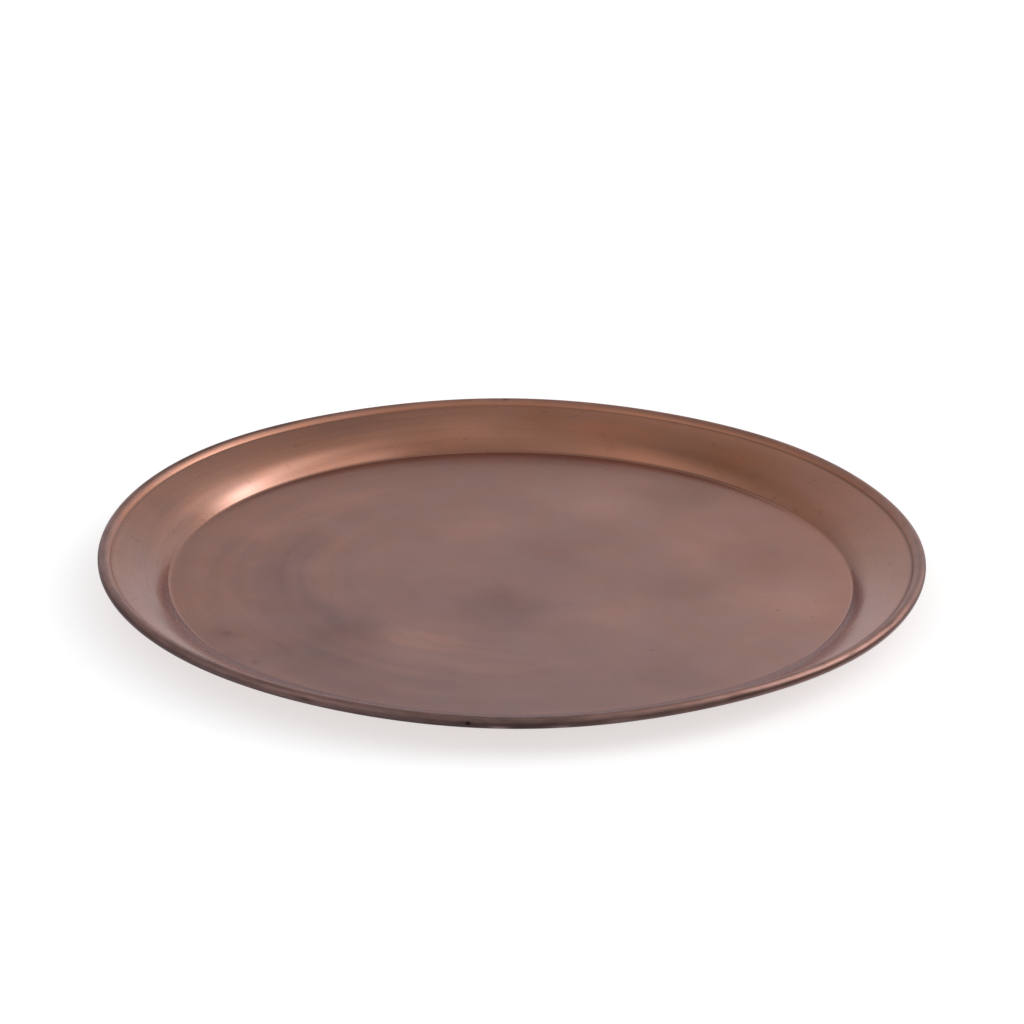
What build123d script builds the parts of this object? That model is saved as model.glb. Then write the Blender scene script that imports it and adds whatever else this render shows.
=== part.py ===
from build123d import *
import os
from math import sin, cos, tan, atan2, asin, radians, degrees, hypot

# Round spun copper tray with a wired, rolled rim.
# +Z is up. The origin is on the plane the tray stands on, at the centre of the tray.
# All lengths are in millimetres.

# ---------------------------------------------------------------- driving dimensions
outer_diameter = 350.0      # over the rolled rim
sheet = 0.9                 # thickness of the copper sheet
wire_diameter = 3.0         # stiffening wire inside the roll
wire_clearance = 0.03       # between the wire and the sheet rolled round it
butt_gap = 0.6              # gap left between the two cut ends of the wire

floor_corner_radius = 2.0   # small hollow bend where the flat floor turns up into the wall
wall_foot_radius = 145.4    # where that bend ends and the wall begins
wall_foot_slope = 50.0      # slope of the wall there, from horizontal
wall_waist_radius = 154.0   # where the tight curve of the wall passes into the slack one
wall_waist_slope = 26.0     # slope of the wall there
rim_crease_radius = 169.3   # crisp crease where the wall meets the rolled rim
wall_top_slope = 15.5       # slope of the wall just inside the crease
wire_drop = 0.28            # how far the wire's centre lies below the crease
roll_end_angle = 190.0      # where the edge of the sheet stops, counted round the wire
                            # from straight outwards, over the outside and underneath

# ---------------------------------------------------------------- derived sizes
wire_radius = wire_diameter / 2
channel_radius = wire_radius + wire_clearance
roll_radius = channel_radius + sheet
rim_centre_radius = outer_diameter / 2 - roll_radius

a_foot = radians(wall_foot_slope)
a_waist = radians(wall_waist_slope)
a_top = radians(wall_top_slope)

# hollow bend between the floor and the wall
floor_radius = wall_foot_radius - floor_corner_radius * sin(a_foot)
corner_centre = (floor_radius, sheet + floor_corner_radius)
# the wall is two arcs, tight near the floor and slack near the rim, tangent to each other
tight_radius = (wall_waist_radius - wall_foot_radius) / (sin(a_foot) - sin(a_waist))
slack_radius = (rim_crease_radius - wall_waist_radius) / (sin(a_waist) - sin(a_top))
foot_z = sheet + floor_corner_radius * (1 - cos(a_foot))
waist_z = foot_z + tight_radius * (cos(a_waist) - cos(a_foot))
crease_z = waist_z + slack_radius * (cos(a_top) - cos(a_waist))
tight_centre = (wall_foot_radius + tight_radius * sin(a_foot), foot_z - tight_radius * cos(a_foot))
slack_centre = (wall_waist_radius + slack_radius * sin(a_waist), waist_z - slack_radius * cos(a_waist))
rim_centre_height = crease_z - wire_drop

# the short band that leaves the crease and lies tangent to the roll
dr = rim_centre_radius - rim_crease_radius
dz = rim_centre_height - crease_z
a_band = atan2(dz, dr) + asin(roll_radius / hypot(dr, dz))
tangent = a_band + radians(90)      # direction from the wire's centre to the tangent point


def around(centre, radius, angle):
    return (centre[0] + radius * cos(angle), centre[1] + radius * sin(angle))


def wall_point(centre, radius, slope):
    # point of a wall arc where the wall has this slope: the arc's centre lies under the sheet
    return around(centre, radius, slope + radians(90))


def corner_point(radius, slope):
    # point of the hollow bend: its centre lies over the sheet
    return around(corner_centre, radius, slope - radians(90))


def round_wire(radius, angle):
    return around((rim_centre_radius, rim_centre_height), radius, angle)


crease = (rim_crease_radius, crease_z)

# the roll goes clockwise from the tangent point, over the outside, to its free edge
a_end = -radians(360 - roll_end_angle)
a_mid = (tangent + a_end) / 2
mid_foot = a_foot / 2
mid_tight = (a_foot + a_waist) / 2
mid_slack = (a_waist + a_top) / 2


def under_crease(slope):
    # under the crease the sheet bends about the crease itself
    return around(crease, sheet, slope - radians(90))


# ---------------------------------------------------------------- the tray sheet
# One disc of sheet spun into the floor, the wall and the roll round the wire.
with BuildPart() as tray_sheet:
    with BuildSketch(Plane.XZ) as sheet_profile:
        with BuildLine() as sheet_outline:
            # upper face, from the centre outwards
            Line((0, sheet), corner_point(floor_corner_radius, 0))
            ThreePointArc(
                corner_point(floor_corner_radius, 0),
                corner_point(floor_corner_radius, mid_foot),
                wall_point(tight_centre, tight_radius, a_foot),
            )
            ThreePointArc(
                wall_point(tight_centre, tight_radius, a_foot),
                wall_point(tight_centre, tight_radius, mid_tight),
                wall_point(tight_centre, tight_radius, a_waist),
            )
            ThreePointArc(
                wall_point(tight_centre, tight_radius, a_waist),
                wall_point(slack_centre, slack_radius, mid_slack),
                crease,
            )
            Line(crease, round_wire(roll_radius, tangent))
            # outside of the roll, its free edge, and the channel that holds the wire
            ThreePointArc(
                round_wire(roll_radius, tangent), round_wire(roll_radius, a_mid), round_wire(roll_radius, a_end)
            )
            Line(round_wire(roll_radius, a_end), round_wire(channel_radius, a_end))
            ThreePointArc(
                round_wire(channel_radius, a_end), round_wire(channel_radius, a_mid),
                round_wire(channel_radius, tangent),
            )
            # lower face, back to the centre: the same curves, one sheet thickness away
            Line(round_wire(channel_radius, tangent), under_crease(a_band))
            ThreePointArc(under_crease(a_band), under_crease((a_band + a_top) / 2), under_crease(a_top))
            ThreePointArc(
                under_crease(a_top),
                wall_point(slack_centre, slack_radius - sheet, mid_slack),
                wall_point(tight_centre, tight_radius - sheet, a_waist),
            )
            ThreePointArc(
                wall_point(tight_centre, tight_radius - sheet, a_waist),
                wall_point(tight_centre, tight_radius - sheet, mid_tight),
                wall_point(tight_centre, tight_radius - sheet, a_foot),
            )
            ThreePointArc(
                wall_point(tight_centre, tight_radius - sheet, a_foot),
                corner_point(floor_corner_radius + sheet, mid_foot),
                corner_point(floor_corner_radius + sheet, 0),
            )
            Line(corner_point(floor_corner_radius + sheet, 0), (0, 0))
            Line((0, 0), (0, sheet))
        make_face()
    revolve(axis=Axis.Z)
tray_sheet.part.label = "tray_sheet"

# ---------------------------------------------------------------- the rim wire
# A round wire bent into a ring, with its two cut ends facing each other across a small gap.
gap_angle = degrees(butt_gap / rim_centre_radius)
half_gap = radians(gap_angle / 2)
cut_end = Plane(
    origin=(0, 0, 0),
    x_dir=(cos(half_gap), sin(half_gap), 0),
    z_dir=(sin(half_gap), -cos(half_gap), 0),
)
with BuildPart() as rim_wire:
    with BuildSketch(cut_end) as wire_section:
        with Locations((rim_centre_radius, rim_centre_height)):
            Circle(wire_radius)
    revolve(axis=Axis.Z, revolution_arc=360 - gap_angle)
rim_wire.part.label = "rim_wire"

# ---------------------------------------------------------------- files
os.makedirs("parts", exist_ok=True)
export_step(tray_sheet.part, "parts/tray_sheet.step")
export_step(rim_wire.part, "parts/rim_wire.step")

height = rim_centre_height + roll_radius
free_edge = round_wire(roll_radius, a_end)
edge_gap = (free_edge[0] - crease[0]) * sin(a_band) - (free_edge[1] - crease[1]) * cos(a_band) - sheet
print(f"height {height:.3f}  crease height {crease_z:.3f}  rim centre {rim_centre_radius:.3f}, {rim_centre_height:.3f}")
print(f"flat floor radius {floor_radius:.3f}  wall arcs {tight_radius:.2f} and {slack_radius:.2f}  band slope {degrees(a_band):.2f}")
print(f"roll radius {roll_radius:.3f}  free edge clears the border by {edge_gap:.3f}")
print(f"volumes cm3: sheet {tray_sheet.part.volume/1000:.3f}  wire {rim_wire.part.volume/1000:.3f}")
print("sheet valid", tray_sheet.part.is_valid, " wire valid", rim_wire.part.is_valid)
wire_box = rim_wire.part.bounding_box()
print("wire z", round(wire_box.min.Z, 4), round(wire_box.max.Z, 4), " wanted",
      round(rim_centre_height - wire_radius, 4), round(rim_centre_height + wire_radius, 4))
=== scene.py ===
import bpy, bmesh, math
from mathutils import Vector, Matrix


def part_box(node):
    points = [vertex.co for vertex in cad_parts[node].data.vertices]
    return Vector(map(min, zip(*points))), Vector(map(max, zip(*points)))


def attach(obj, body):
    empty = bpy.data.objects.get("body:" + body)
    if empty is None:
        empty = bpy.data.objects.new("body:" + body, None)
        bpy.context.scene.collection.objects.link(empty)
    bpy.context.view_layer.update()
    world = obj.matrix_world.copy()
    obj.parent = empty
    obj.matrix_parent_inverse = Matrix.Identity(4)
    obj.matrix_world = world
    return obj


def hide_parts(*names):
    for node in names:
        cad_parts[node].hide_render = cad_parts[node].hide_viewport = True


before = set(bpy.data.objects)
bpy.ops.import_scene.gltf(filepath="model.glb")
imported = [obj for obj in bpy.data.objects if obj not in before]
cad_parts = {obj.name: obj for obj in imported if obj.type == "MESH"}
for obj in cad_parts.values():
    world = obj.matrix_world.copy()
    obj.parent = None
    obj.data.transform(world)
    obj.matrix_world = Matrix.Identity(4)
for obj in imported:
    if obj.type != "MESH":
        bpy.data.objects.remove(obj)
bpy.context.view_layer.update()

# ------------------------------------------------------------------ sizes, in millimetres
lo_s, hi_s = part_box("tray_sheet")
R_OUT = round((hi_s.x - lo_s.x) * 500.0, 1)          # 175, over the rolled rim
SHEET = 0.9
WIRE_R = 1.5
CHANNEL_R = WIRE_R + 0.03
ROLL_R = CHANNEL_R + SHEET
RC = R_OUT - ROLL_R                                  # radius of the wire's ring
CORNER_R = 2.0                                       # hollow bend between floor and wall
R_FOOT, R_WAIST, R_CREASE = 145.4, 154.0, 169.3
A_FOOT, A_WAIST, A_TOP = math.radians(50), math.radians(26), math.radians(15.5)
R_FLAT = R_FOOT - CORNER_R * math.sin(A_FOOT)
TIGHT = (R_WAIST - R_FOOT) / (math.sin(A_FOOT) - math.sin(A_WAIST))
SLACK = (R_CREASE - R_WAIST) / (math.sin(A_WAIST) - math.sin(A_TOP))
Z_FOOT = SHEET + CORNER_R * (1 - math.cos(A_FOOT))
Z_WAIST = Z_FOOT + TIGHT * (math.cos(A_WAIST) - math.cos(A_FOOT))
Z_CREASE = Z_WAIST + SLACK * (math.cos(A_TOP) - math.cos(A_WAIST))
ZC = Z_CREASE - 0.28
CREASE = (R_CREASE, Z_CREASE)
DR, DZ = RC - R_CREASE, ZC - Z_CREASE
A_BAND = math.atan2(DZ, DR) + math.asin(ROLL_R / math.hypot(DR, DZ))
TAN = A_BAND + math.pi / 2
A_END = -math.radians(170.0)


# ------------------------------------------------------------------ the section of the sheet
def around(centre, radius, a):
    return (centre[0] + radius * math.cos(a), centre[1] + radius * math.sin(a))


def arc(centre, radius, a0, a1, n):
    return [around(centre, radius, a0 + (a1 - a0) * i / n) for i in range(n + 1)]


def line(p, q, n):
    return [(p[0] + (q[0] - p[0]) * i / n, p[1] + (q[1] - p[1]) * i / n) for i in range(n + 1)]


def fillet(p0, p1, p2, radius, n):
    """Points of an arc that rounds the corner p1."""
    u = Vector((p0[0] - p1[0], p0[1] - p1[1])).normalized()
    v = Vector((p2[0] - p1[0], p2[1] - p1[1])).normalized()
    half = math.acos(max(-1, min(1, u.dot(v)))) / 2
    t = radius / math.tan(half)
    c = Vector(p1[:2]) + (u + v).normalized() * (radius / math.sin(half))
    a = Vector(p1[:2]) + u * t - c
    b = Vector(p1[:2]) + v * t - c
    a0, a1 = math.atan2(a.y, a.x), math.atan2(b.y, b.x)
    d = (a1 - a0 + math.pi) % (2 * math.pi) - math.pi
    return [around(c, radius, a0 + d * i / n) for i in range(n + 1)]


def join(*runs):
    out = []
    for run in runs:
        for p in run:
            if not out or math.hypot(p[0] - out[-1][0], p[1] - out[-1][1]) > 1e-3:
                out.append(p)
    return out


H = math.pi / 2
corner_c = (R_FLAT, SHEET + CORNER_R)
tight_c = (R_FOOT + TIGHT * math.sin(A_FOOT), Z_FOOT - TIGHT * math.cos(A_FOOT))
slack_c = (R_WAIST + SLACK * math.sin(A_WAIST), Z_WAIST - SLACK * math.cos(A_WAIST))
roll_c = (RC, ZC)

slack_top = arc(slack_c, SLACK, A_WAIST + H, A_TOP + H, 30)


def curve(p0, p1, p2, p3, n):
    out = []
    for i in range(n + 1):
        t = i / n
        a, b, c, d = (1 - t) ** 3, 3 * t * (1 - t) ** 2, 3 * t * t * (1 - t), t ** 3
        out.append(tuple(a * p0[k] + b * p1[k] + c * p2[k] + d * p3[k] for k in (0, 1)))
    return out


# from the crease the metal swells straight into the top of the roll
band_top = curve(CREASE, (R_CREASE + 0.45, Z_CREASE + 0.78), (RC - 1.40, ZC + ROLL_R), (RC, ZC + ROLL_R), 14)
upper = join(
    line((0, SHEET), (R_FLAT, SHEET), 14),
    arc(corner_c, CORNER_R, -H, A_FOOT - H, 8),
    arc(tight_c, TIGHT, A_FOOT + H, A_WAIST + H, 22),
    slack_top[:-1],
    fillet(slack_top[-2], CREASE, band_top[1], 0.22, 5),
    band_top[1:],
    arc(roll_c, ROLL_R, H, A_END, 58),
)
# the free edge of the sheet, slightly rounded
edge = [
    around(roll_c, (ROLL_R + CHANNEL_R) / 2 + math.cos(b) * SHEET / 2, A_END - math.sin(b) * 0.06)
    for b in [math.pi * i / 6 for i in range(1, 6)]
]
lower = join(
    arc(roll_c, CHANNEL_R, A_END, TAN, 40),
    line(around(roll_c, CHANNEL_R, TAN), around(CREASE, SHEET, A_BAND - H), 3),
    arc(CREASE, SHEET, A_BAND - H, A_TOP - H, 5),
    arc(slack_c, SLACK - SHEET, A_TOP + H, A_WAIST + H, 20),
    arc(tight_c, TIGHT - SHEET, A_WAIST + H, A_FOOT + H, 12),
    arc(corner_c, CORNER_R + SHEET, A_FOOT - H, -H, 8),
    line((R_FLAT, 0), (0, 0), 12),
)


# ------------------------------------------------------------------ the hand's unevenness
def smooth(t):
    t = max(0.0, min(1.0, t))
    return t * t * (3 - 2 * t)


# (harmonic, cosine, sine) of the rim's radius and of its height, mm
RIM_R = [(0, -0.20, 0), (1, 0.15, -0.18), (2, 0.01, -0.01), (3, 0.11, -0.10), (4, 0.04, -0.02),
         (5, 0.07, -0.07), (7, 0.05, -0.04), (8, 0.03, 0.02)]
RIM_Z = [(1, -0.08, -0.08), (2, 0.06, -0.10), (3, -0.04, -0.16), (4, -0.03, 0.04), (5, 0.12, 0.17),
         (6, 0.08, 0), (7, 0.07, -0.18), (8, 0.01, -0.04)]


def series(terms, th):
    return sum(a * math.cos(k * th) + b * math.sin(k * th) for k, a, b in terms)


def warp(r, z, th):
    """Where a point of the true turned shape lies on the real, slightly uneven tray, in mm."""
    w = smooth((r - R_FLAT) / (R_OUT - 4 - R_FLAT))
    return r + w * series(RIM_R, th), z + w * series(RIM_Z, th)


def place(r, z, th):
    r, z = warp(r, z, th)
    return (r * math.cos(th) / 1000, r * math.sin(th) / 1000, z / 1000)


def finish_mesh(name, verts, faces, marks=()):
    me = bpy.data.meshes.new(name)
    me.from_pydata(verts, [], faces)
    me.update()
    for key, values in marks:
        me.attributes.new(key, "FLOAT", "POINT").data.foreach_set("value", values)
    for f in me.polygons:
        f.use_smooth = len(f.vertices) <= 4
    bm = bmesh.new()
    bm.from_mesh(me)
    bmesh.ops.recalc_face_normals(bm, faces=bm.faces)
    bm.to_mesh(me)
    bm.free()
    ob = bpy.data.objects.new(name, me)
    bpy.context.scene.collection.objects.link(ob)
    return ob


def lathe(name, section, under_from, n):
    """A closed turned mesh. The section starts and ends on the axis.

    Every vertex remembers how far along the section it lies, in mm, and whether
    it is on the side that faces down."""
    rings = [q for q in section if q[0] > 1e-6]
    run, marks = 0.0, []
    for i, q in enumerate(section):
        if i:
            run += math.hypot(q[0] - section[i - 1][0], q[1] - section[i - 1][1])
        marks.append((run if i < under_from else q[0], float(i >= under_from)))
    verts, faces = [place(0, section[0][1], 0)], []
    for q in rings:
        verts += [place(q[0], q[1], 2 * math.pi * j / n) for j in range(n)]
    verts.append(place(0, section[-1][1], 0))
    m, end = len(rings), len(verts) - 1
    for j in range(n):
        k = (j + 1) % n
        faces.append((0, 1 + j, 1 + k))
        faces.append((end, 1 + (m - 1) * n + k, 1 + (m - 1) * n + j))
        for i in range(m - 1):
            a, b = 1 + i * n, 1 + (i + 1) * n
            faces.append((a + j, b + j, b + k, a + k))
    runs, unders = [marks[0][0]], [0.0]
    for q in marks[1:-1]:
        runs += [q[0]] * n
        unders += [q[1]] * n
    runs.append(0.0)
    unders.append(1.0)
    return finish_mesh(name, verts, faces, (("run", runs), ("under", unders)))


def ring_wire(name, n, m=20, gap=0.6):
    """The stiffening wire: a ring with two cut ends facing each other."""
    g = gap / RC / 2
    verts, faces = [], []
    for j in range(n + 1):
        th = g + (2 * math.pi - 2 * g) * j / n
        verts += [place(*around(roll_c, WIRE_R, 2 * math.pi * i / m), th) for i in range(m)]
    for j in range(n):
        for i in range(m):
            k = (i + 1) % m
            faces.append((j * m + i, (j + 1) * m + i, (j + 1) * m + k, j * m + k))
    faces.append(tuple(range(m)))
    faces.append(tuple(n * m + i for i in reversed(range(m))))
    return finish_mesh(name, verts, faces)


N = 360
sheet_ob = lathe("spun_sheet", upper + edge + lower, len(upper) + len(edge), N)
wire_ob = ring_wire("wire_ring", N)


# ------------------------------------------------------------------ materials
class Net:
    """Short names for shader nodes."""

    def __init__(self, tree):
        self.nt = tree

    def put(self, sock, v):
        if isinstance(v, bpy.types.NodeSocket):
            self.nt.links.new(v, sock)
        elif v is not None:
            if hasattr(sock.default_value, "__len__") and not hasattr(v, "__len__"):
                v = (v,) * len(sock.default_value)
            if hasattr(v, "__len__") and len(sock.default_value) == 4 and len(v) == 3:
                v = (*v, 1)
            sock.default_value = v

    def math(self, op, a, b=None, c=None, clamp=False):
        n = self.nt.nodes.new("ShaderNodeMath")
        n.operation, n.use_clamp = op, clamp
        for i, v in enumerate((a, b, c)):
            self.put(n.inputs[i], v)
        return n.outputs[0]

    def add(self, *terms):
        out = terms[0]
        for t in terms[1:]:
            out = self.math("ADD", out, t)
        return out

    def mul(self, a, b):
        return self.math("MULTIPLY", a, b)

    def mad(self, a, b, c):
        return self.math("MULTIPLY_ADD", a, b, c)

    def vec(self, op, a, b=None, c=None, scale=None):
        n = self.nt.nodes.new("ShaderNodeVectorMath")
        n.operation = op
        for i, v in enumerate((a, b, c)):
            self.put(n.inputs[i], v)
        if scale is not None:
            self.put(n.inputs["Scale"], scale)
        return n.outputs["Value" if op in ("LENGTH", "DOT_PRODUCT", "DISTANCE") else "Vector"]

    def xyz(self, x, y, z=0.0):
        n = self.nt.nodes.new("ShaderNodeCombineXYZ")
        for i, v in enumerate((x, y, z)):
            self.put(n.inputs[i], v)
        return n.outputs[0]

    def split(self, v):
        n = self.nt.nodes.new("ShaderNodeSeparateXYZ")
        self.put(n.inputs[0], v)
        return n.outputs

    def noise(self, v, scale, detail=2.0, rough=0.5, dist=0.0, out=0):
        n = self.nt.nodes.new("ShaderNodeTexNoise")
        self.put(n.inputs["Vector"], v)
        n.inputs["Scale"].default_value = scale
        n.inputs["Detail"].default_value = detail
        n.inputs["Roughness"].default_value = rough
        n.inputs["Distortion"].default_value = dist
        return n.outputs[out]

    def centred(self, *args, **kw):
        """Noise about zero, running roughly from -1 to 1."""
        return self.mad(self.noise(*args, **kw), 3.2, -1.6)

    def remap(self, x, a, b, c=0.0, d=1.0):
        n = self.nt.nodes.new("ShaderNodeMapRange")
        n.interpolation_type = "SMOOTHSTEP"
        self.put(n.inputs["Value"], x)
        for key, v in (("From Min", a), ("From Max", b), ("To Min", c), ("To Max", d)):
            n.inputs[key].default_value = v
        return n.outputs["Result"]

    def bell(self, x, centre, width):
        t = self.mad(x, 1.0 / width, -centre / width)
        return self.math("EXPONENT", self.mul(self.mul(t, t), -1.0))

    def table(self, x, a, b, points):
        """A smooth curve through (x, value) points; value within -1..1."""
        n = self.nt.nodes.new("ShaderNodeValToRGB")
        n.color_ramp.interpolation = "LINEAR"
        el = n.color_ramp.elements
        while len(el) < len(points):
            el.new(0.5)
        for e, (px, v) in zip(el, points):
            e.position = (px - a) / (b - a)
        for e, (px, v) in zip(el, points):
            g = v * 0.5 + 0.5
            e.color = (g, g, g, 1)
        self.put(n.inputs[0], self.mad(x, 1.0 / (b - a), -a / (b - a)))
        return self.mad(n.outputs[0], 2.0, -1.0)

    def mix(self, fac, a, b):
        n = self.nt.nodes.new("ShaderNodeMix")
        n.data_type, n.clamp_factor = "RGBA", True
        self.put(n.inputs[0], fac)
        self.put(n.inputs[6], a)
        self.put(n.inputs[7], b)
        return n.outputs[2]

    def attribute(self, name):
        n = self.nt.nodes.new("ShaderNodeAttribute")
        n.attribute_name = name
        return n.outputs["Fac"]


# lengths along the section, from the middle of the floor outward
S_FLAT = R_FLAT
S_FOOT = S_FLAT + CORNER_R * A_FOOT
S_WAIST = S_FOOT + TIGHT * (A_FOOT - A_WAIST)
S_CREASE = S_WAIST + SLACK * (A_WAIST - A_TOP)
S_CROWN = S_CREASE + sum(math.dist(a, b) for a, b in zip(band_top, band_top[1:]))   # top of the roll
S_ROLL = S_CREASE + 1.6                              # where the band has become the roll
S_BRINK = S_CROWN + ROLL_R * H                       # its outermost line
S_BELOW = S_BRINK + ROLL_R * H                       # its lowest line

# clouds in the patina of the floor: x, y, radius in mm, lightness, warmth
SPOTS = [
    (37, 89, 24, 0.9, -0.3), (0, -28, 19, -1.0, -0.2), (67, -11, 20, -0.6, 0.0),
    (112, 26, 17, -0.7, 0.0), (17, 29, 17, -0.5, 0.0), (72, 94, 18, -0.6, 0.0),
    (67, -96, 20, -0.6, -0.1), (-72, -66, 18, -0.7, -0.2), (-105, 49, 14, 0.6, 0.6),
    (-72, 89, 15, 0.6, 0.6), (-37, -66, 15, 0.7, 0.8), (-22, 49, 19, 0.5, 0.5),
    (80, 34, 18, 0.5, 0.4), (40, -36, 18, 0.6, 0.6), (122, -27, 17, 0.9, 0.0),
    (-112, -84, 7, -0.5, 0.2), (-118, -60, 6, -0.5, 0.2),
]
# curved clouds that follow the spinning: azimuth, radius, radial width, angular width in degrees
ARCS = [
    (178, 100, 9, 26, -0.7, -0.7), (205, 88, 8, 24, -0.7, -0.8), (225, 118, 9, 14, -0.6, -0.5),
    (252, 82, 4, 18, 0.6, 0.7), (258, 92, 4, 20, 0.5, 0.6), (246, 72, 4, 16, 0.4, 0.5),
    (160, 121, 6, 12, -0.4, -0.3), (100, 60, 6, 16, 0.3, 0.2), (20, 96, 7, 14, -0.3, 0.0),
]


# and clouds on the wall: azimuth, distance along the section, widths, lightness, warmth; they are partly patina
# and partly painted reflection that evens out the light the wall reflects, and the one at azimuth 143 is a painted
# highlight that whitens the wall's highlight
WALL_ARCS = [
    (49, 160, 9, 8, -0.15, 2.2), (72, 160, 7, 9, 0.4, 2.0), (86, 165, 9, 4, -0.4, 1.2),
    (98, 163, 9, 5, 0.5, -0.2), (118, 168, 8, 10, -0.7, 0.1), (30, 152, 6, 12, -0.1, 1.2),
    (143, 149, 5, 12, 0.05, -1.1), (104, 150, 5, 9, -0.5, 0.6), (62, 171, 3, 12, 0.5, 1.0),
    (8, 160, 8, 9, -0.1, -0.6), (178, 160, 9, 9, -0.15, -0.9), (65, 148, 4, 10, 0.9, 0.8),
    (270, 175, 5, 9, -0.1, -1.5), (330, 160, 6, 8, 0.2, 0.4),
]


# marks of use on the floor: x, y, radius, lightness
FLECKS = [
    (112, -32, 1.1, -0.30), (126, -38, 1.0, -0.26), (128, -22, 0.9, -0.24), (129.5, -32, 0.8, -0.2),
    (-117, -62, 3.0, -0.10), (-103, -91, 3.0, -0.13), (58, -74, 1.3, -0.12), (-96, 22, 1.2, -0.10),
    (31, 118, 1.4, -0.10), (90, 71, 1.1, -0.08),
]
# short scratches: from, to, half width, lightness
SCRATCHES = [
    (-78, -60, -73, -65, 0.45, -0.10), (-97, -70, -92, -77, 0.5, -0.13), (-92, -77, -89, -84, 0.5, -0.13),
    (-55, 83, -51, 76, 0.5, -0.12), (-51, 76, -43, 72, 0.5, -0.12), (36, 100, 43, 95, 0.4, -0.10),
    (-30, -104, -18, -107, 0.35, 0.08), (97, -60, 103, -52, 0.35, -0.08),
]
# marks on the outside of the roll: azimuth, distance along the section, widths, lightness; the long dark one at
# azimuth 138 is painted shade that dims the roll's highlight there
ROLL_MARKS = [
    (264.8, 180.6, 0.6, 0.30, -0.65), (138.0, 177.4, 2.6, 26.0, -0.42), (268.0, 181.0, 4.0, 16.0, -0.22),
    (268.7, 182.2, 0.7, 1.1, 0.9), (276.8, 182.4, 0.7, 1.1, 0.8),
    (91.0, 176.6, 0.7, 0.5, -0.5), (243.0, 180.5, 0.7, 1.4, -0.35), (301.0, 180.0, 0.8, 1.8, -0.3),
    (284.0, 181.0, 0.7, 1.5, 0.35), (322.0, 179.0, 0.8, 1.2, -0.3), (333.0, 178.0, 0.8, 2.0, -0.25),
]


def scratch(n, p, x0, y0, x1, y1, w):
    d = (x1 - x0, y1 - y0, 0)
    q = n.vec("SUBTRACT", p, (x0, y0, 0))
    t = n.math("MULTIPLY", n.vec("DOT_PRODUCT", q, d), 1.0 / (d[0] ** 2 + d[1] ** 2), clamp=True)
    far = n.vec("LENGTH", n.vec("SUBTRACT", q, n.vec("SCALE", d, scale=t)))
    return n.remap(far, 0.0, w, 1.0, 0.0)


def arc_cloud(n, rad, unit, az, r0, wr, wa):
    t = math.radians(az)
    dot = n.vec("DOT_PRODUCT", unit, (math.cos(t), math.sin(t), 0))
    k = 2.0 / math.radians(wa) ** 2
    d = n.mad(rad, 1.0 / wr, -r0 / wr)
    return n.math("EXPONENT", n.math("SUBTRACT", n.mad(dot, k, -k), n.mul(d, d)))


def clouds(n, p):
    """Lightness and warmth of the placed clouds at the point p, in mm."""
    light, warm = None, None
    for x, y, rad, a, b in SPOTS:
        d = n.vec("DISTANCE", p, (x, y, 0))
        d = n.mul(d, 1.0 / rad)
        w = n.math("EXPONENT", n.mul(n.mul(d, d), -1.0))
        light = n.mad(w, a, light if light else 0.0)
        warm = n.mad(w, b, warm if warm else 0.0)
    rad = n.vec("LENGTH", p)
    unit = n.vec("NORMALIZE", p)
    for az, r0, wr, wa, a, b in ARCS:
        w = arc_cloud(n, rad, unit, az, r0, wr, wa)
        light = n.mad(w, a, light)
        warm = n.mad(w, b, warm)
    return light, warm


# what the metal reflects head on, and the edge tint of its shader
WALL_COPPER = (0.608, 0.281, 0.191)
FLOOR_COPPER = (0.590, 0.304, 0.237)
WALL_EDGE, FLOOR_EDGE = (0.64, 0.68, 0.78), (0.44, 0.45, 0.55)


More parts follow.
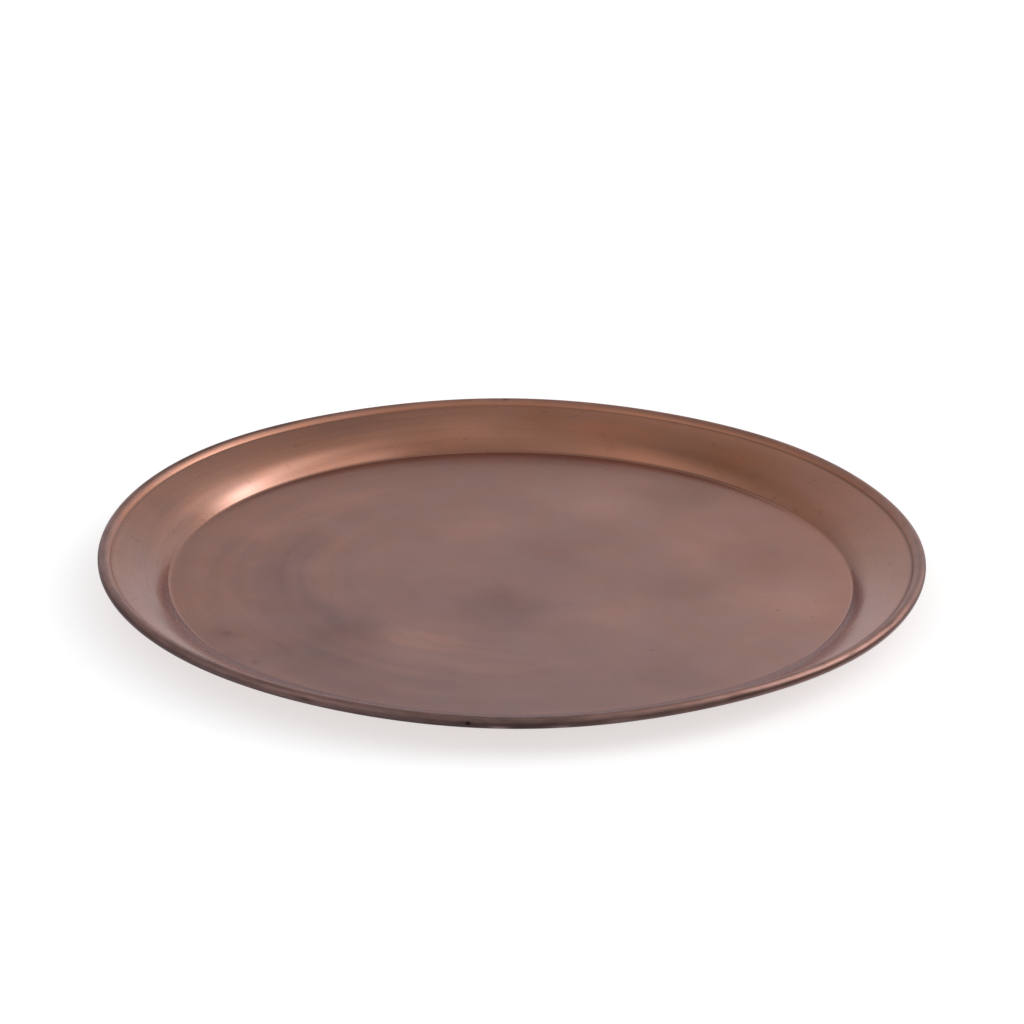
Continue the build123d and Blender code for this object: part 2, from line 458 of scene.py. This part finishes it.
def mat_copper():
    m = bpy.data.materials.new("antiqued_copper")
    m.use_nodes = True
    n = Net(m.node_tree)
    bsdf = m.node_tree.nodes["Principled BSDF"]
    tc = m.node_tree.nodes.new("ShaderNodeTexCoord")
    p = n.vec("SCALE", tc.outputs["Object"], scale=1000.0)
    x, y, z = n.split(p)
    flat = n.xyz(x, y, 0.0)
    r = n.vec("LENGTH", flat)
    unit = n.vec("NORMALIZE", flat)
    ux, uy, _ = n.split(unit)
    run = n.attribute("run")
    under = n.attribute("under")
    on_floor = n.remap(run, S_FLAT - 1.0, S_FOOT + 0.5, 1.0, 0.0)
    on_roll = n.remap(run, S_ROLL - 0.3, S_ROLL + 0.4)

    # ---- clouds: placed ones pushed about by noise, and free ones
    push = n.vec("SCALE", n.vec("SUBTRACT", n.noise(flat, 0.030, 2.0, 0.5, out=1), (0.5, 0.5, 0.5)), scale=34.0)
    sx, sy, _ = n.split(n.vec("ADD", flat, push))
    light, warm = clouds(n, n.xyz(sx, sy, 0.0))
    light, warm = n.mul(light, on_floor), n.mul(warm, on_floor)
    wobble = n.mad(n.noise(n.xyz(n.mul(run, 0.05), n.mul(ux, 4.0), n.mul(uy, 4.0)), 1.0, 3.0), 14.0, -7.0)
    for az, r0, wr, wa, a, b in WALL_ARCS:
        w = arc_cloud(n, n.add(run, wobble), unit, az, r0, wr, wa)
        w = n.mul(w, n.math("SUBTRACT", 1.0, on_floor))
        light = n.mad(w, a, light)
        warm = n.mad(w, b, warm)
    free = n.centred(flat, 0.028, 3.0, 0.55, 0.3)
    free2 = n.centred(n.vec("ADD", flat, (311, 97, 0)), 0.05, 3.0, 0.55, 0.4)
    # streaks that follow the spinning
    spin = n.xyz(n.mul(run, 0.16), n.mul(ux, 1.7), n.mul(uy, 1.7))
    streak = n.centred(spin, 1.0, 4.0, 0.6, 0.2)
    fine = n.xyz(n.mul(run, 1.3), n.mul(ux, 1.3), n.mul(uy, 1.3))
    lines = n.centred(fine, 1.0, 2.0, 0.6)
    grain = n.centred(p, 0.45, 2.0, 0.6)
    wallish = n.math("SUBTRACT", 1.0, on_floor)
    # the spinning streaks are plainest toward the left and the front left
    lead = n.vec("DOT_PRODUCT", unit, (math.cos(math.radians(205)), math.sin(math.radians(205)), 0))
    swept = n.add(0.35, n.mul(n.remap(lead, -0.2, 0.9), n.remap(r, 30.0, 80.0)), n.mul(wallish, 0.6))
    rings = n.centred(n.xyz(n.mul(run, 0.105), n.mul(ux, 0.9), n.mul(uy, 0.9)), 1.0, 2.0, 0.5)
    # the floor is lighter toward the right and warmer toward its back and sides
    qx, qy = n.mul(x, 1 / 144.0), n.mul(y, 1 / 144.0)
    slope = n.add(n.mul(qx, 0.125), n.mul(n.mul(qx, qx), 0.045), n.mul(n.mul(qy, qy), -0.055),
                  n.mul(n.mul(qx, qy), -0.045))
    glow = n.add(n.mul(n.mul(qx, qx), 1.1), n.mul(qy, 0.9))

    tone = n.add(
        n.mul(light, 0.19), n.mul(free, 0.072), n.mul(n.mul(streak, 0.042), swept),
        n.mul(n.mul(rings, 0.032), swept), n.mul(slope, on_floor),
        n.mul(n.mul(lines, 0.045), n.mad(wallish, 0.95, 0.05)), n.mul(grain, 0.008))
    # painted reflection: the wall is made lighter and warmer toward the back, and the strip at the crease warmer
    # toward the back
    back_wall_sheen = n.remap(n.vec("DOT_PRODUCT", unit, (0.26, 0.97, 0)), 0.2, 0.95)
    tone = n.add(tone, n.mul(n.mul(wallish, back_wall_sheen), 0.05))
    band = n.mul(n.remap(run, S_CREASE - 0.4, S_CREASE + 0.4), n.remap(uy, -0.2, 0.4))
    heat = n.add(
        n.mul(warm, 0.6), n.mul(free2, 0.55), n.mul(n.mul(streak, 0.22), swept),
        n.mul(n.mul(rings, 0.24), swept), n.mul(n.mul(wallish, back_wall_sheen), 0.75), n.mul(band, 0.4),
        n.mul(glow, on_floor))

    # ---- small marks of use
    on_top = n.mul(n.math("SUBTRACT", 1.0, under), on_floor)
    marks = None
    for fx, fy, rad, a in FLECKS:
        d = n.mad(n.vec("DISTANCE", flat, (fx, fy, 0)), 1.0 / rad, n.mul(grain, 0.25))
        marks = n.mad(n.remap(d, 0.3, 1.1, 1.0, 0.0), a, marks if marks else 0.0)
    for sx0, sy0, sx1, sy1, w, a in SCRATCHES:
        marks = n.mad(scratch(n, flat, sx0, sy0, sx1, sy1, w), a, marks)
    marks = n.mul(marks, on_top)
    for az, r0, wr, wa, a in ROLL_MARKS:
        marks = n.mad(arc_cloud(n, run, unit, az, r0, wr, wa), a, marks)
    blots = n.remap(n.noise(p, 0.21, 3.0, 0.55), 0.62, 0.72)
    marks = n.mad(n.mul(blots, wallish), -0.10, marks)
    rub = n.centred(n.xyz(n.mul(run, 0.45), n.mul(ux, 16.0), n.mul(uy, 16.0)), 1.0, 3.0, 0.6)
    marks = n.mad(n.mul(rub, n.remap(run, S_CREASE, S_CROWN)), 0.19, marks)
    tone = n.add(tone, marks)

    # ---- painted shade and highlight along the section: a faint painted highlight in the bend at the foot, painted shade just above it and in the crease, and a darker top of the roll
    ring = n.table(run, 140.0, 192.0, [
        (140.0, 0.0), (143.4, 0.0), (144.4, 0.05), (145.2, -0.02), (146.4, -0.10), (149.5, -0.05),
        (153.0, 0.0), (S_CREASE - 1.2, 0.0), (S_CREASE - 0.35, -0.14), (S_CREASE + 0.35, -0.08),
        (S_CREASE + 0.9, 0.03), (S_ROLL, 0.0), (S_CROWN, -0.10), (192.0, -0.10)])
    # painted shade in the crease, most of all toward the right, and painted shade in the foot bend toward the back
    crease_shade = n.mul(n.bell(run, S_CREASE - 0.2, 0.55), n.remap(ux, 0.2, 0.9, 0.0, -0.25))
    tone = n.add(tone, crease_shade, n.mul(n.bell(run, 145.0, 0.8), n.remap(uy, 0.1, 0.8, 0.0, -0.22)))
    tone = n.add(tone, n.mul(ring, n.mad(under, -1.0, 1.0)))

    # the floor and the roll take a less saturated copper than the wall
    base = n.mix(n.math("MAXIMUM", on_floor, on_roll), WALL_COPPER, FLOOR_COPPER)
    base = n.vec("MULTIPLY", base, n.xyz(n.mad(heat, 0.06, 1.0), n.mad(heat, -0.06, 1.0), n.mad(heat, -0.18, 1.0)))
    base = n.vec("SCALE", base, scale=n.mad(tone, 1.15, 1.0))
    # the roll is darker round its outside: painted shade, deepest on its underside and less toward the right and
    # the back, where the lamps are
    roll_shade = n.table(run, 174.0, 192.0, [
        (174.0, 0.0), (S_ROLL, 0.08), (S_CROWN, 0.30), (S_BRINK - 1.6, 0.50), (S_BRINK, 0.65),
        (S_BRINK + 1.0, 0.75), (S_BELOW, 0.9), (192.0, 0.9)])
    side = n.vec("DOT_PRODUCT", unit, (math.cos(math.radians(-18)), math.sin(math.radians(-18)), 0))
    roll_shade = n.mul(n.mul(roll_shade, n.mad(under, -1.0, 1.0)), n.remap(uy, -0.7, 0.3, 1.0, 0.6))
    roll_shade = n.mul(roll_shade, n.remap(side, 0.2, 0.95, 1.0, 0.30))
    # the colour of that painted shade, a little lighter toward the right and scaled with the marks on the roll
    roll_shade_colour = n.mix(n.remap(ux, -0.8, 0.2, 1.0, 0.0), (0.200, 0.132, 0.156), (0.260, 0.148, 0.156))
    roll_shade_colour = n.vec("SCALE", roll_shade_colour, scale=n.math("MAXIMUM", n.mad(marks, 2.2, 1.0), 0.2))
    base = n.mix(roll_shade, base, roll_shade_colour)
    n.put(bsdf.inputs["Base Color"], base)
    bsdf.inputs["Metallic"].default_value = 1.0
    dull = n.remap(run, S_CREASE - 0.5, S_CREASE + 1.2, 0.0, 0.17)
    n.put(bsdf.inputs["Roughness"], n.add(0.27, dull, n.mul(free2, 0.012),
        n.mul(n.mul(lines, 0.012), n.mad(wallish, 0.8, 0.2))))
    n.put(bsdf.inputs["Specular Tint"], n.mix(on_floor, WALL_EDGE, FLOOR_EDGE))
    n.put(bsdf.inputs["Coat Weight"], n.mad(tone, 0.5, 0.5))
    bsdf.inputs["Coat IOR"].default_value = 2.0
    n.put(bsdf.inputs["Coat Roughness"], n.add(0.13, dull, n.mul(free, 0.012)))

    # ---- relief: spun grooves and a fine grain
    height = n.mul(n.mul(lines, 0.0016), n.mad(wallish, 0.975, 0.025))
    bump = m.node_tree.nodes.new("ShaderNodeBump")
    bump.inputs["Strength"].default_value = 1.0
    bump.inputs["Distance"].default_value = 0.001
    n.put(bump.inputs["Height"], height)
    n.put(bsdf.inputs["Normal"], bump.outputs[0])
    return m


def mat_wire():
    m = bpy.data.materials.new("drawn_wire")
    m.use_nodes = True
    n = Net(m.node_tree)
    bsdf = m.node_tree.nodes["Principled BSDF"]
    tc = m.node_tree.nodes.new("ShaderNodeTexCoord")
    p = n.vec("SCALE", tc.outputs["Object"], scale=1000.0)
    rust = n.remap(n.noise(p, 0.35, 4.0, 0.6), 0.52, 0.68)
    n.put(bsdf.inputs["Base Color"], n.mix(rust, (0.19, 0.18, 0.17), (0.11, 0.055, 0.03)))
    n.put(bsdf.inputs["Metallic"], n.mad(rust, -0.7, 1.0))
    n.put(bsdf.inputs["Roughness"], n.mad(rust, 0.3, 0.45))
    bump = m.node_tree.nodes.new("ShaderNodeBump")
    bump.inputs["Distance"].default_value = 0.001
    n.put(bump.inputs["Height"], n.mul(n.noise(p, 2.0, 3.0, 0.6), 0.05))
    n.put(bsdf.inputs["Normal"], bump.outputs[0])
    return m


def mat_stage():
    m = bpy.data.materials.new("pale_floor")
    m.use_nodes = True
    b = m.node_tree.nodes["Principled BSDF"]
    b.inputs["Base Color"].default_value = (0.9, 0.9, 0.9, 1)
    b.inputs["Roughness"].default_value = 0.9
    b.inputs["Specular IOR Level"].default_value = 0.1
    b.inputs["Emission Color"].default_value = (1, 1, 1, 1)
    b.inputs["Emission Strength"].default_value = STAGE_GLOW
    return m


STAGE_GLOW = 0.62
sheet_ob.data.materials.append(mat_copper())
wire_ob.data.materials.append(mat_wire())
for ob, node, slot in ((sheet_ob, "tray_sheet", "copper_sheet"), (wire_ob, "rim_wire", "iron_wire")):
    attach(ob, "root")
    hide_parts(node)

# ------------------------------------------------------------------ stage, light, camera
me = bpy.data.meshes.new("floor")
S = 6.0
me.from_pydata([(-S, -S, 0), (S, -S, 0), (S, S, 0), (-S, S, 0)], [], [(0, 1, 2, 3)])
floor = bpy.data.objects.new("floor", me)
bpy.context.scene.collection.objects.link(floor)
floor.location.z = -0.0003
floor.data.materials.append(mat_stage())
floor.visible_glossy = False

# the studio is a set of soft lamps all round: azimuth from +x toward +y, height, brightness
WIDE_LAMPS = [
    (45, -20, 0.10), (90, -20, 0.68), (135, -20, 0.06), (180, -20, 0.09), (225, -20, 0.17),
    (60, 5, 0.19), (90, 5, 0.38), (120, 5, 0.18), (180, 5, 0.11), (210, 5, 0.16), (240, 5, 0.10),
    (75, 28, 0.10), (105, 28, 0.17), (135, 28, 0.15), (165, 28, 0.15), (195, 28, 0.21),
    (225, 28, 0.21), (255, 28, 0.07), (80, 50, 0.05), (120, 50, 0.08), (200, 50, 0.25),
    (240, 50, 0.17), (280, 50, 0.04), (320, 50, 0.08), (0, 70, 0.12), (60, 70, 0.20),
    (240, 70, 0.07), (300, 70, 0.07), (0, 90, 0.11), (48, -38, 0.42),
    (255, 5, 0.06), (285, 5, 0.08), (315, 5, 0.14), (270, 28, 0.16), (300, 28, 0.17), (330, 24, 0.18),
]
NARROW_LAMPS = [
    (36, 14, 0.51), (52, 14, 0.29), (68, 14, 0.09), (8, 26, 2.35), (22, 26, 1.30), (68, 26, 0.07),
    (-6, 38, 1.07), (36, 38, 0.27), (52, 38, 0.58), (-22, 52, 0.66), (22, 52, 0.97), (36, 52, 0.13),
]
KEY_LAMPS = [(26, 36, 3.0)]
FILL_BELOW = 0.27


def studio():
    w = bpy.data.worlds.new("studio")
    bpy.context.scene.world = w
    w.use_nodes = True
    n = Net(w.node_tree)
    tc = w.node_tree.nodes.new("ShaderNodeTexCoord")
    d = n.vec("NORMALIZE", tc.outputs["Generated"])
    total = n.remap(n.split(d)[2], -0.7, -0.05, FILL_BELOW, 0.0)
    for az, el, s, k in ([(*q, 12.0) for q in WIDE_LAMPS] + [(*q, 60.0) for q in NARROW_LAMPS]
                         + [(*q, 110.0) for q in KEY_LAMPS]):
        a, e = math.radians(az), math.radians(el)
        dot = n.vec("DOT_PRODUCT", d, (math.cos(a) * math.cos(e), math.sin(a) * math.cos(e), math.sin(e)))
        total = n.mad(n.math("EXPONENT", n.mad(dot, k, -k)), s, total)
    seen = w.node_tree.nodes.new("ShaderNodeLightPath").outputs["Is Camera Ray"]
    bg = w.node_tree.nodes["Background"]
    n.put(bg.inputs["Color"], n.mix(seen, n.xyz(total, total, total), (0.99, 0.99, 0.99)))
    bg.inputs["Strength"].default_value = 1.0


studio()

# the camera stands in front of the tray and looks down on it
R = R_OUT / 1000
EL, DIST, AX, AY, ROLL = math.radians(23.14), 10.687 * R, 0.0001, 0.0148, math.radians(0.706)
aim = Vector((0, 0, SHEET / 1000))
C = aim + Vector((0, -DIST * math.cos(EL), DIST * math.sin(EL)))
fw = (aim - C).normalized()
right = Vector((1, 0, 0))
up = right.cross(fw)
fw2 = fw * math.cos(AY) + up * math.sin(AY)
up2 = right.cross(fw2)
fw3 = fw2 * math.cos(AX) + right * math.sin(AX)
r3 = fw3.cross(up2)
X = r3 * math.cos(ROLL) + up2 * math.sin(ROLL)
Y = up2 * math.cos(ROLL) - r3 * math.sin(ROLL)
cam = bpy.data.objects.new("camera", bpy.data.cameras.new("camera"))
bpy.context.scene.collection.objects.link(cam)
cam.matrix_world = Matrix((
    (X.x, Y.x, -fw3.x, C.x), (X.y, Y.y, -fw3.y, C.y), (X.z, Y.z, -fw3.z, C.z), (0, 0, 0, 1)))
cam.data.sensor_width = 36
cam.data.lens = 4400 / 1024 * 36
cam.data.clip_end = 50
bpy.context.scene.camera = cam
bpy.context.scene.view_settings.view_transform = "Standard"
